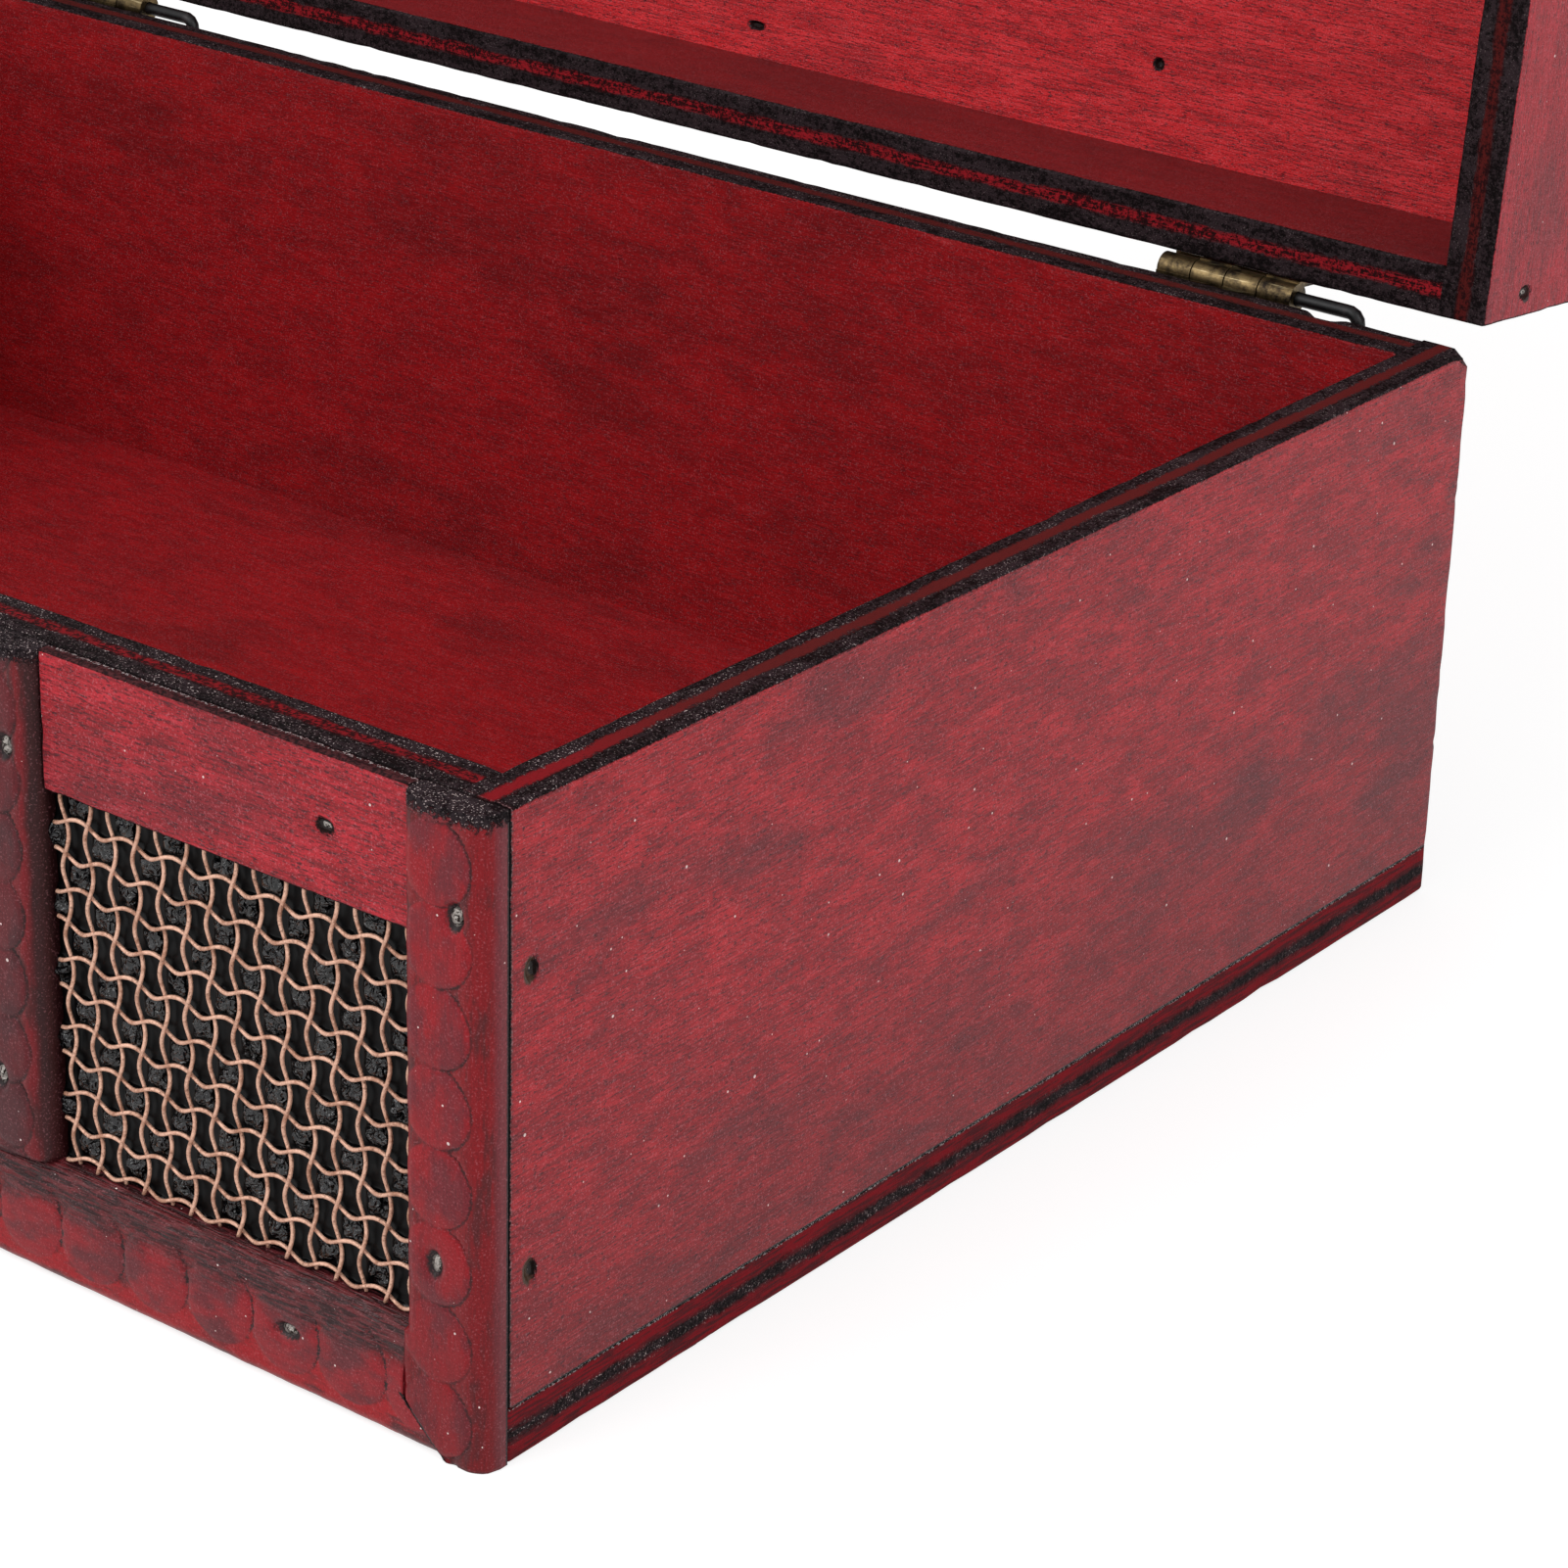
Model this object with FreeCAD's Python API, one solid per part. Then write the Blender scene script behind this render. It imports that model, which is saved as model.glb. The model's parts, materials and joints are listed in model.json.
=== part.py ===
import FreeCAD, Part
import math
import os

# A stained plywood keepsake box with a hinged tray lid, standing open.
# Millimetres. The origin is the middle of the underside, x runs to the
# right, y to the back and z up. The decorated front faces minus y.

V = FreeCAD.Vector

# Carcass
box_length = 210.0
box_depth = 140.0
base_height = 57.0
wall_thickness = 5.0
floor_thickness = 5.0

# Lid, a shallow tray that closes on the base rim
lid_inner_depth = 18.0
lid_wall_thickness = 5.0
lid_panel_thickness = 5.0
closed_gap = 0.3
open_angle = 96.0

# Carved mouldings on the front and over the lid
moulding_width = 8.4
moulding_thickness = 3.0
shoulder_radius = 2.0
bottom_moulding_height = 10.7
mitre_leg = 4.3
bay_count = 4

# Plain facing strips under the rims
strip_height = 12.3
strip_thickness = 1.5

# Woven wire panels on black backing
backing_thickness = 0.4
wire_diameter = 0.5
wire_pitch_x = 2.68
wire_pitch_z = 3.1
weave_swing = 0.14
net_side_gap = 0.4
net_end_gap = 0.3

# Flat brads, driven flush
brad_width = 1.9
brad_thickness = 1.2
panel_brad_length = 7.0
trim_brad_length = 4.6
side_brad_setback = 2.7
side_brad_heights = (16.5, 42.7)
post_brad_heights = (17.5, 48.0)
bottom_brad_inset = 21.0
strip_brad_inset = 9.0
batten_brad_inset = 12.0
floor_brad_inset = 25.0
lid_rail_brad_height = 7.5

# Two butt hinges on the outside of the back, with bent wire pins
hinge_from_right = 28.4
hinge_from_left = 24.0
barrel_length = 15.6
barrel_radius = 1.5
barrel_clearance = 0.15
knuckle_count = 4
knuckle_gap = 0.15
leaf_height = 11.0
leaf_thickness = 0.6
pin_diameter = 1.4
pin_clearance = 0.05
pin_overhang = 7.1
pin_bend = 1.0
pin_leg = 11.0
hinge_nail_spacing = 9.0
hinge_nail_from_edge = 3.0
hinge_nail_head_radius = 1.2
hinge_nail_head_height = 0.5
hinge_nail_shank = 0.8
hinge_nail_length = 4.0

# Worked out from the sizes above
right = box_length / 2
left = -right
front = -box_depth / 2
back = box_depth / 2
lid_rim = base_height + closed_gap
lid_panel_under = lid_rim + lid_inner_depth
lid_top = lid_panel_under + lid_panel_thickness
bay_pitch = box_length / bay_count
axis_y = back + barrel_radius + barrel_clearance
axis_z = base_height + closed_gap / 2
hinge_centres = (
    ("left", left + hinge_from_left),
    ("right", right - hinge_from_right),
)


def block(x0, x1, y0, y1, z0, z1):
    return Part.makeBox(x1 - x0, y1 - y0, z1 - z0, V(x0, y0, z0))


def moulding(corner, across, outward, along, width, length):
    """A flat-backed bar with two rounded shoulders."""
    r = shoulder_radius
    t = moulding_thickness
    k = r * (1 - math.sqrt(0.5))

    def at(u, n):
        return corner + across * u + outward * n

    outline = [
        Part.makeLine(at(0, 0), at(0, t - r)),
        Part.Arc(at(0, t - r), at(k, t - k), at(r, t)).toShape(),
        Part.makeLine(at(r, t), at(width - r, t)),
        Part.Arc(at(width - r, t), at(width - k, t - k), at(width, t - r)).toShape(),
        Part.makeLine(at(width, t - r), at(width, 0)),
        Part.makeLine(at(width, 0), at(0, 0)),
    ]
    return Part.Face(Part.Wire(outline)).extrude(along * length)


def bar(middle, along, wide_way, width, thickness, length):
    """A flat bar that starts at middle and runs along, wide across wide_way."""
    wide = wide_way * (width / 2)
    thin = along.cross(wide_way) * (thickness / 2)
    ring = [middle - wide - thin, middle + wide - thin,
            middle + wide + thin, middle - wide + thin, middle - wide - thin]
    return Part.Face(Part.makePolygon(ring)).extrude(along * length)


def panel_brad(head, inward, wide_way):
    """A long brad that joins two panels, its head flush with the surface."""
    return bar(head, inward, wide_way, brad_width, brad_thickness, panel_brad_length)


def trim_brad(head, inward, wide_way):
    """A short brad that holds trim to a panel, its head flush with the trim."""
    return bar(head, inward, wide_way, brad_width, brad_thickness, trim_brad_length)


def bay_edges(index):
    """Left and right ends of the window between two upright mouldings."""
    start = left + index * bay_pitch
    end = start + bay_pitch
    start += moulding_width if index == 0 else moulding_width / 2
    end -= moulding_width if index == bay_count - 1 else moulding_width / 2
    return start, end


def upright_left_edge(index):
    """Left edge of the upright moulding number index, corners included."""
    if index == 0:
        return left
    if index == bay_count:
        return right - moulding_width
    return left + index * bay_pitch - moulding_width / 2


def open_lid(shape):
    """Swing a piece of the closed lid to where it stands open."""
    turned = shape.copy()
    turned.rotate(V(0, axis_y, axis_z), V(1, 0, 0), -open_angle)
    return turned


# Carcass panels: the sides run full depth, front and back lie between them
def carcass():
    inner_x = right - wall_thickness
    side = (front, back, floor_thickness, base_height)
    span = (-inner_x, inner_x)
    z = (floor_thickness, base_height)
    return {
        "base_floor_panel": block(left, right, front, back, 0, floor_thickness),
        "base_left_side": block(left, -inner_x, *side),
        "base_right_side": block(inner_x, right, *side),
        "base_front_panel": block(*span, front, front + wall_thickness, *z),
        "base_back_panel": block(*span, back - wall_thickness, back, *z),
    }


def lid_frame():
    inner_x = right - lid_wall_thickness
    z = (lid_rim, lid_panel_under)
    return {
        "lid_top_panel": block(left, right, front, back, lid_panel_under, lid_top),
        "lid_left_rail": block(left, -inner_x, front, back, *z),
        "lid_right_rail": block(inner_x, right, front, back, *z),
        "lid_front_rail": block(-inner_x, inner_x, front, front + lid_wall_thickness, *z),
        "lid_back_rail": block(-inner_x, inner_x, back - lid_wall_thickness, back, *z),
    }


# Carved trim: posts at the corners and at the quarter points, one bottom bar
def mitre_wedge(side, above):
    """The prism above or below the mitre line at one bottom corner."""
    x_in = right - moulding_width
    tip = x_in + mitre_leg
    reach = moulding_thickness + 1
    if above:
        ring = [(x_in, mitre_leg), (tip, 0), (right, 0),
                (right, base_height), (x_in, base_height)]
    else:
        ring = [(x_in, mitre_leg), (x_in, 0), (tip, 0)]
    points = [V(side * x, front - reach, z) for x, z in ring]
    points.append(points[0])
    return Part.Face(Part.makePolygon(points)).extrude(V(0, reach, 0))


def front_trim():
    x, y, z = V(1, 0, 0), V(0, 1, 0), V(0, 0, 1)
    pieces = {}
    bottom = moulding(V(left, front, 0), z, -y, x, bottom_moulding_height, box_length)
    for side in (-1, 1):
        bottom = bottom.cut(mitre_wedge(side, True))
    pieces["bottom_moulding"] = bottom
    for index in range(bay_count + 1):
        edge = upright_left_edge(index)
        if index in (0, bay_count):
            post = moulding(V(edge, front, 0), x, -y, z, moulding_width, base_height)
            post = post.cut(mitre_wedge(-1 if index == 0 else 1, False))
            name = "left_corner_moulding" if index == 0 else "right_corner_moulding"
        else:
            foot = bottom_moulding_height
            post = moulding(V(edge, front, foot), x, -y, z, moulding_width, base_height - foot)
            name = "divider_moulding_%d" % index
        pieces[name] = post
    return pieces


def lid_trim():
    x, y, z = V(1, 0, 0), V(0, 1, 0), V(0, 0, 1)
    pieces = {}
    batten_length = box_depth + moulding_thickness
    for index in range(bay_count + 1):
        edge = upright_left_edge(index)
        pieces["lid_post_%d" % (index + 1)] = moulding(
            V(edge, front, lid_rim), x, -y, z, moulding_width, lid_top - lid_rim)
        pieces["lid_batten_%d" % (index + 1)] = moulding(
            V(edge, front - moulding_thickness, lid_top), x, z, y,
            moulding_width, batten_length)
    return pieces


def facing_strips():
    base, lid = {}, {}
    for index in range(bay_count):
        x0, x1 = bay_edges(index)
        y = (front - strip_thickness, front)
        base["front_strip_%d" % (index + 1)] = block(
            x0, x1, *y, base_height - strip_height, base_height)
        lid["lid_strip_%d" % (index + 1)] = block(x0, x1, *y, lid_rim, lid_top)
    return base, lid


# Window panels: a black sheet on the front panel with a woven net on it
def woven_net(x0, columns, rows, z0, y_back):
    """Crimped wires give wide low gaps and narrow tall gaps in turn."""
    half = wire_diameter / 2
    swing_x = weave_swing * wire_pitch_x
    swing_z = weave_swing * wire_pitch_z

    def ring(xa, xb, za, zb):
        points = [V(xa, y_back, za), V(xb, y_back, za), V(xb, y_back, zb), V(xa, y_back, zb)]
        points.append(points[0])
        return Part.makePolygon(points)

    wires = [ring(x0 - half, x0 + columns * wire_pitch_x + half,
                  z0 - half, z0 + rows * wire_pitch_z + half)]
    for i in range(columns):
        for j in range(rows):
            turn = 1 if (i + j) % 2 == 0 else -1
            gap_x = wire_pitch_x / 2 - half + turn * swing_x * (0 < i < columns - 1)
            gap_z = wire_pitch_z / 2 - half - turn * swing_z * (0 < j < rows - 1)
            cx = x0 + (i + 0.5) * wire_pitch_x
            cz = z0 + (j + 0.5) * wire_pitch_z
            wires.append(ring(cx - gap_x, cx + gap_x, cz - gap_z, cz + gap_z))
    net = Part.makeFace(wires, "Part::FaceMakerBullseye")
    return net.extrude(V(0, -2 * wire_diameter, 0))


def windows():
    pieces = {}
    z0 = bottom_moulding_height
    z1 = base_height - strip_height
    for index in range(bay_count):
        x0, x1 = bay_edges(index)
        y = front - backing_thickness
        pieces["mesh_backing_%d" % (index + 1)] = block(x0, x1, y, front, z0, z1)
        usable = x1 - x0 - 2 * net_side_gap - wire_diameter
        columns = int(usable / wire_pitch_x)
        rows = int((z1 - z0 - 2 * net_end_gap - wire_diameter) / wire_pitch_z)
        width = columns * wire_pitch_x
        if index < bay_count / 2:
            start = x0 + net_side_gap + wire_diameter / 2
        else:
            start = x1 - net_side_gap - wire_diameter / 2 - width
        pieces["wire_mesh_%d" % (index + 1)] = woven_net(
            start, columns, rows, z0 + net_end_gap + wire_diameter / 2, y)
    return pieces


# Hinges: two leaves with alternate knuckles turn on a bent wire pin
def leaf(x_mid, upward):
    """One leaf, closed position: upward is 1 for the lid, -1 for the base."""
    x0 = x_mid - barrel_length / 2
    step = barrel_length / knuckle_count
    near = barrel_radius + closed_gap
    far = leaf_height
    z_low, z_high = sorted((axis_z + upward * near, axis_z + upward * far))
    y = (back, back + leaf_thickness)
    shape = block(x0, x0 + barrel_length, *y, z_low, z_high)
    for k in range(knuckle_count):
        if (k % 2 == 0) == (upward > 0):
            continue
        xa = x0 + k * step + (knuckle_gap / 2 if k > 0 else 0)
        xb = x0 + (k + 1) * step - (knuckle_gap / 2 if k < knuckle_count - 1 else 0)
        z_low, z_high = sorted((axis_z, axis_z + upward * near))
        knuckle = Part.makeCylinder(barrel_radius, xb - xa, V(xa, axis_y, axis_z), V(1, 0, 0))
        shape = shape.fuse([knuckle, block(xa, xb, *y, z_low, z_high)])
    bore = Part.makeCylinder(pin_diameter / 2 + pin_clearance, barrel_length + 2,
                             V(x0 - 1, axis_y, axis_z), V(1, 0, 0))
    return shape.cut(bore).removeSplitter()


def hinge_pin(x_mid):
    """A wire through the barrel, its right end bent down in two steps."""
    x0 = x_mid - barrel_length / 2
    x1 = x_mid + barrel_length / 2 + pin_overhang
    start = V(x0, axis_y, axis_z)
    path = Part.makePolygon([
        start,
        V(x1 - pin_bend, axis_y, axis_z),
        V(x1, axis_y, axis_z - pin_bend),
        V(x1, axis_y, axis_z - pin_leg),
    ])
    section = Part.Wire(Part.makeCircle(pin_diameter / 2, start, V(1, 0, 0)))
    mitred = 1
    return path.makePipeShell([section], True, False, mitred)


def hinge_nails(x_mid, upward):
    """Two nails with eight-sided heads, through a leaf into the plywood."""
    nails = []
    z = axis_z + upward * (leaf_height - hinge_nail_from_edge)
    face = back + leaf_thickness
    for side in (-0.5, 0.5):
        x = x_mid + side * hinge_nail_spacing
        rim = [V(x + hinge_nail_head_radius * math.cos(turn), face,
                 z + hinge_nail_head_radius * math.sin(turn))
               for turn in (math.tau * k / 8 for k in range(9))]
        head = Part.Face(Part.makePolygon(rim)).extrude(V(0, hinge_nail_head_height, 0))
        shank = bar(V(x, face, z), V(0, -1, 0), V(1, 0, 0),
                    hinge_nail_shank, hinge_nail_shank, hinge_nail_length)
        nails.append(head.fuse(shank))
    return nails


# Brads, by the pieces that they hold
def side_brads():
    y = front + side_brad_setback
    return [panel_brad(V(side * right, y, z), V(-side, 0, 0), V(0, 0, 1))
            for side in (-1, 1) for z in side_brad_heights]


def post_brads():
    found = []
    for index in range(bay_count + 1):
        x = upright_left_edge(index) + moulding_width / 2
        for z in post_brad_heights:
            found.append(trim_brad(V(x, front - moulding_thickness, z), V(0, 1, 0), V(0, 0, 1)))
    return found


def bottom_brads():
    z = bottom_moulding_height / 2
    y = front - moulding_thickness
    spacing = (box_length - 2 * bottom_brad_inset) / (bay_count - 1)
    return [trim_brad(V(left + bottom_brad_inset + k * spacing, y, z),
                      V(0, 1, 0), V(1, 0, 0)) for k in range(bay_count)]


def strip_brads():
    z = base_height - strip_height / 2
    found = []
    for index in range(bay_count):
        x0, x1 = bay_edges(index)
        x = x0 + strip_brad_inset if index < bay_count / 2 else x1 - strip_brad_inset
        found.append(trim_brad(V(x, front - strip_thickness, z), V(0, 1, 0), V(1, 0, 0)))
    return found


def floor_brads():
    found = []
    x = right - wall_thickness / 2
    for side in (-1, 1):
        for y in (front + floor_brad_inset, back - floor_brad_inset):
            found.append(panel_brad(V(side * x, y, 0), V(0, 0, 1), V(0, 1, 0)))
    return found


def batten_brads():
    found = []
    z = lid_top + moulding_thickness
    for index in range(bay_count + 1):
        x = upright_left_edge(index) + moulding_width / 2
        for y in (front + batten_brad_inset, back - batten_brad_inset):
            found.append(trim_brad(V(x, y, z), V(0, 0, -1), V(0, 1, 0)))
    return found


def lid_rail_brads():
    y_mid = lid_wall_thickness / 2
    z = lid_rim + lid_rail_brad_height
    return [panel_brad(V(side * right, y, z), V(-side, 0, 0), V(0, 0, 1))
            for side in (-1, 1) for y in (front + y_mid, back - y_mid)]


def drill(pieces, names, fasteners):
    """Cut the seats of the fasteners in the pieces that they pass through."""
    tool = Part.makeCompound(fasteners)
    for name in names:
        pieces[name] = pieces[name].cut(tool)


def build():
    base = {**carcass(), **front_trim(), **windows()}
    lid = {**lid_frame(), **lid_trim()}
    base_strips, lid_strips = facing_strips()
    base.update(base_strips)
    lid.update(lid_strips)

    walls = ["base_front_panel", "base_left_side", "base_right_side", "base_floor_panel"]
    posts = ["left_corner_moulding", "right_corner_moulding"]
    posts += ["divider_moulding_%d" % k for k in range(1, bay_count)]
    battens = ["lid_batten_%d" % (k + 1) for k in range(bay_count + 1)]

    groups = {
        "side_brads": (base, side_brads(), walls),
        "post_brads": (base, post_brads(), walls + posts),
        "bottom_moulding_brads": (base, bottom_brads(), walls + ["bottom_moulding"]),
        "strip_brads": (base, strip_brads(), walls + sorted(base_strips)),
        "floor_brads": (base, floor_brads(), walls),
        "batten_brads": (lid, batten_brads(), battens + ["lid_top_panel"]),
        "lid_rail_brads": (lid, lid_rail_brads(),
                           ["lid_left_rail", "lid_right_rail",
                            "lid_front_rail", "lid_back_rail"]),
    }
    for name, x_mid in hinge_centres:
        base[name + "_hinge_base_leaf"] = leaf(x_mid, -1)
        lid[name + "_hinge_lid_leaf"] = leaf(x_mid, 1)
        base[name + "_hinge_pin"] = hinge_pin(x_mid)
    base_leaves = [name + "_hinge_base_leaf" for name, x_mid in hinge_centres]
    lid_leaves = [name + "_hinge_lid_leaf" for name, x_mid in hinge_centres]
    low = [nail for name, x_mid in hinge_centres for nail in hinge_nails(x_mid, -1)]
    high = [nail for name, x_mid in hinge_centres for nail in hinge_nails(x_mid, 1)]
    groups["hinge_base_nails"] = (base, low, base_leaves + ["base_back_panel"])
    groups["hinge_lid_nails"] = (lid, high, lid_leaves + ["lid_back_rail"])

    for name, (body, fasteners, names) in groups.items():
        drill(body, names, fasteners)
        body[name] = Part.makeCompound(fasteners)

    pieces = dict(base)
    for name, shape in lid.items():
        pieces[name] = open_lid(shape)
    return pieces


os.makedirs("parts", exist_ok=True)
for node, shape in sorted(build().items()):
    shape.exportStep("parts/%s.step" % node)
    print(node, len(shape.Solids), round(shape.Volume, 1), shape.isValid())
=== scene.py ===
import json
import math

import bmesh
import bpy
from mathutils import Matrix, Vector, noise

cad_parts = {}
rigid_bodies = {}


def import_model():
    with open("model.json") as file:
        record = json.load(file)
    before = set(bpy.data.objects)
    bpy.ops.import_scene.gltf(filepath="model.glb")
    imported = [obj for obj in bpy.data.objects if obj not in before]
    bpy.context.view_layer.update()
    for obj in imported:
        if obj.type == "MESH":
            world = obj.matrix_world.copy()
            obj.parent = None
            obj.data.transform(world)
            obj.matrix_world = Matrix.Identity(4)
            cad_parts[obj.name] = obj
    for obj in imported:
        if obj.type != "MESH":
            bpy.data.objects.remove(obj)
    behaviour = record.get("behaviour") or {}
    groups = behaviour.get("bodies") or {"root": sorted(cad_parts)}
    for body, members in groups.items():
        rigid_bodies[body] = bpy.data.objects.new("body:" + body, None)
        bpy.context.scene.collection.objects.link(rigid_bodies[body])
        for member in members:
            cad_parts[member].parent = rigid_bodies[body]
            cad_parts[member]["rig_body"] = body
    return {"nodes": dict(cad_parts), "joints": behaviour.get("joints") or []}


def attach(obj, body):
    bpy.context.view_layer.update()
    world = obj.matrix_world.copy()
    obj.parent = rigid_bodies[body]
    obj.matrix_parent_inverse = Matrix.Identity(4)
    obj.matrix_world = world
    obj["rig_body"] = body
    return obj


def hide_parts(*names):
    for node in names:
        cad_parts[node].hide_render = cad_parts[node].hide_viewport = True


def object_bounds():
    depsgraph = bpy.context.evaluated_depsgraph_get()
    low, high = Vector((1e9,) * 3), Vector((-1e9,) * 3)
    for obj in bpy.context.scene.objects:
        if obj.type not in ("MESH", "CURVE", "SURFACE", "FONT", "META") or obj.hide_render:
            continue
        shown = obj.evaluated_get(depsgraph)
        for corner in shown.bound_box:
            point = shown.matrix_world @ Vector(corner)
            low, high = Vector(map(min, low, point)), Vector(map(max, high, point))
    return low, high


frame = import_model()
cad_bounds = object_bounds()

# The camera stands in front of the box and to its right, above the rim, and
# takes in the right quarter of the front, the right side, the inside of the
# tray and the lower part of the open lid.
camera = bpy.data.objects.new("camera", bpy.data.cameras.new("camera"))
camera.location = (0.31480, -0.31263, 0.20361)
camera.rotation_euler = [math.radians(turn) for turn in (65.781, -1.516, 37.904)]
camera.data.sensor_width = 36.0
camera.data.lens = 109.06
camera.data.clip_start = 0.01
bpy.context.scene.collection.objects.link(camera)
bpy.context.scene.camera = camera
bpy.context.scene.view_settings.view_transform = "Standard"


# A white sweep under soft daylight: one wide lamp high in front, one at the
# right and a pale sky all round. The floor keeps the shadow of the box.
def paint(code):
    """A colour written as on a paint card, as the light that it reflects."""
    channels = [int(code[k:k + 2], 16) / 255 for k in (1, 3, 5)]
    return tuple(c / 12.92 if c <= 0.04045 else ((c + 0.055) / 1.055) ** 2.4
                 for c in channels) + (1.0,)


class Measure:
    """A number, place or colour that varies over a surface."""

    def __init__(self, finish, socket):
        self.finish = finish
        self.socket = socket

    def maths(self, operation, *values):
        return self.finish.node("ShaderNodeMath", {"operation": operation},
                                dict(enumerate(values)))

    def __add__(self, other):
        return self.maths("ADD", self, other)

    def __sub__(self, other):
        return self.maths("SUBTRACT", self, other)

    def __rsub__(self, other):
        return self.maths("SUBTRACT", other, self)

    def __mul__(self, other):
        return self.maths("MULTIPLY", self, other)

    def __truediv__(self, other):
        return self.maths("DIVIDE", self, other)

    def __rtruediv__(self, other):
        return self.maths("DIVIDE", other, self)

    def __pow__(self, other):
        return self.maths("POWER", self, other)

    def __abs__(self):
        return self.maths("ABSOLUTE", self)

    def __lt__(self, other):
        return self.maths("LESS_THAN", self, other)

    def __gt__(self, other):
        return self.maths("GREATER_THAN", self, other)

    def __and__(self, other):
        return self.maths("MINIMUM", self, other)

    def __or__(self, other):
        return self.maths("MAXIMUM", self, other)

    __radd__ = __add__
    __rmul__ = __mul__


class Finish:
    """The nodes of one material, or of the sky."""

    def __init__(self, block):
        self.block = block
        block.use_nodes = True
        block.node_tree.nodes.clear()

    def node(self, kind, settings, sockets, out=0):
        made = self.block.node_tree.nodes.new(kind)
        for key, value in settings.items():
            setattr(made, key, value)
        for key, value in sockets.items():
            if isinstance(value, Measure):
                self.block.node_tree.links.new(value.socket, made.inputs[key])
            else:
                made.inputs[key].default_value = value
        return Measure(self, made.outputs[out]) if made.outputs else None


def seen_directly(finish):
    """1 where the eye, a mirror or a glass looks straight at the surface."""
    seen = finish.node("ShaderNodeLightPath", {}, {}, "Is Camera Ray")
    seen = seen | finish.node("ShaderNodeLightPath", {}, {}, "Is Glossy Ray")
    return seen | finish.node("ShaderNodeLightPath", {}, {}, "Is Transmission Ray")


sky = Finish(bpy.data.worlds.new("pale_sky"))
bpy.context.scene.world = sky.block
daylight = sky.node("ShaderNodeBackground", {}, {"Color": (1, 1, 1, 1), "Strength": 0.62})
backdrop = sky.node("ShaderNodeBackground", {}, {"Color": (1, 1, 1, 1), "Strength": 1.0})
sky_light = sky.node("ShaderNodeMixShader", {}, {0: seen_directly(sky), 1: daylight, 2: backdrop})
sky.node("ShaderNodeOutputWorld", {}, {"Surface": sky_light})

for name, place, aim, width, power in (
    ("lamp_front", (-0.35, -0.95, 0.95), (0, 0, 0.05), 0.9, 9.5),
    ("lamp_right", (1.15, -0.25, 0.75), (0.05, 0, 0.05), 0.8, 6.5),
):
    lamp = bpy.data.objects.new(name, bpy.data.lights.new(name, "AREA"))
    lamp.data.size = width
    lamp.data.energy = power
    lamp.location = place
    lamp.rotation_euler = (Vector(aim) - Vector(place)).to_track_quat("-Z", "Y").to_euler()
    bpy.context.scene.collection.objects.link(lamp)

sweep = Finish(bpy.data.materials.new("white_sweep"))
sweep_bounce = sweep.node("ShaderNodeBsdfDiffuse", {}, {"Color": paint("#C8C8C8")})
sweep_white = sweep.node("ShaderNodeBsdfDiffuse", {}, {"Color": paint("#AAAAAA")})
sweep_glow = sweep.node("ShaderNodeEmission", {}, {"Color": (1, 1, 1, 1), "Strength": 0.72})
sweep_white = sweep.node("ShaderNodeAddShader", {}, {0: sweep_white, 1: sweep_glow})
sweep_face = sweep.node("ShaderNodeMixShader", {}, {0: seen_directly(sweep), 1: sweep_bounce,
                                                    2: sweep_white})
sweep.node("ShaderNodeOutputMaterial", {}, {"Surface": sweep_face})

ground = bmesh.new()
bmesh.ops.create_grid(ground, x_segments=1, y_segments=1, size=4.0)
bmesh.ops.translate(ground, vec=(0, 0, cad_bounds[0][2] - 0.0001), verts=ground.verts)
floor = bpy.data.objects.new("floor", bpy.data.meshes.new("floor"))
ground.to_mesh(floor.data)
ground.free()
floor.data.materials.append(sweep.block)
bpy.context.scene.collection.objects.link(floor)


# The open tray is five boards of 5 mm plywood, glued and nailed, with the
# side boards running the full depth and the floor board nailed on below. They
# are stained red and lacquered, and their sawn edges show the plies.
mm = 0.001
X, Y, Z = range(3)
hinge = frame["joints"][0]
hinge_axis = Vector(hinge["pos_m"])
open_angle = math.radians(hinge["range_deg"][1])
closing = {
    "base": Matrix.Identity(4),
    "lid": Matrix.Translation(hinge_axis) @ Matrix.Rotation(open_angle, 4, "X")
    @ Matrix.Translation(-hinge_axis),
}


def corners(points):
    """Lowest and highest corner of some points."""
    points = list(points)
    return (Vector([min(p[k] for p in points) for k in range(3)]),
            Vector([max(p[k] for p in points) for k in range(3)]))


def closed_box(node):
    """Lowest and highest corner that a node has while the lid is closed."""
    solid = frame["nodes"][node]
    turn = closing[solid["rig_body"]]
    return corners(turn @ v.co for v in solid.data.vertices)


def fit(name, shape, finish, slot, *nodes):
    """Turn a shape made on the closed box into the piece that stands for nodes."""
    body = frame["nodes"][nodes[0]]["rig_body"]
    bmesh.ops.transform(shape, matrix=closing[body].inverted(), verts=shape.verts)
    piece = bpy.data.objects.new(name, bpy.data.meshes.new(name))
    shape.to_mesh(piece.data)
    shape.free()
    piece.data.materials.append(finish.block)
    bpy.context.scene.collection.objects.link(piece)
    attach(piece, body)
    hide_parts(*nodes)
    return piece


def loose_parts(node):
    """Corners of each separate solid in a node, on the closed box."""
    shape = bmesh.new()
    shape.from_mesh(frame["nodes"][node].data)
    bmesh.ops.transform(shape, matrix=closing[frame["nodes"][node]["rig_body"]], verts=shape.verts)
    bmesh.ops.remove_doubles(shape, verts=shape.verts, dist=0.001 * mm)
    left, found = set(shape.verts), []
    while left:
        group, front = set(), [left.pop()]
        while front:
            v = front.pop()
            group.add(v)
            near = {e.other_vert(v) for e in v.link_edges} - group
            front.extend(near)
            group |= near
        left -= group
        found.append(corners(v.co.copy() for v in group))
    shape.free()
    return found


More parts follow.
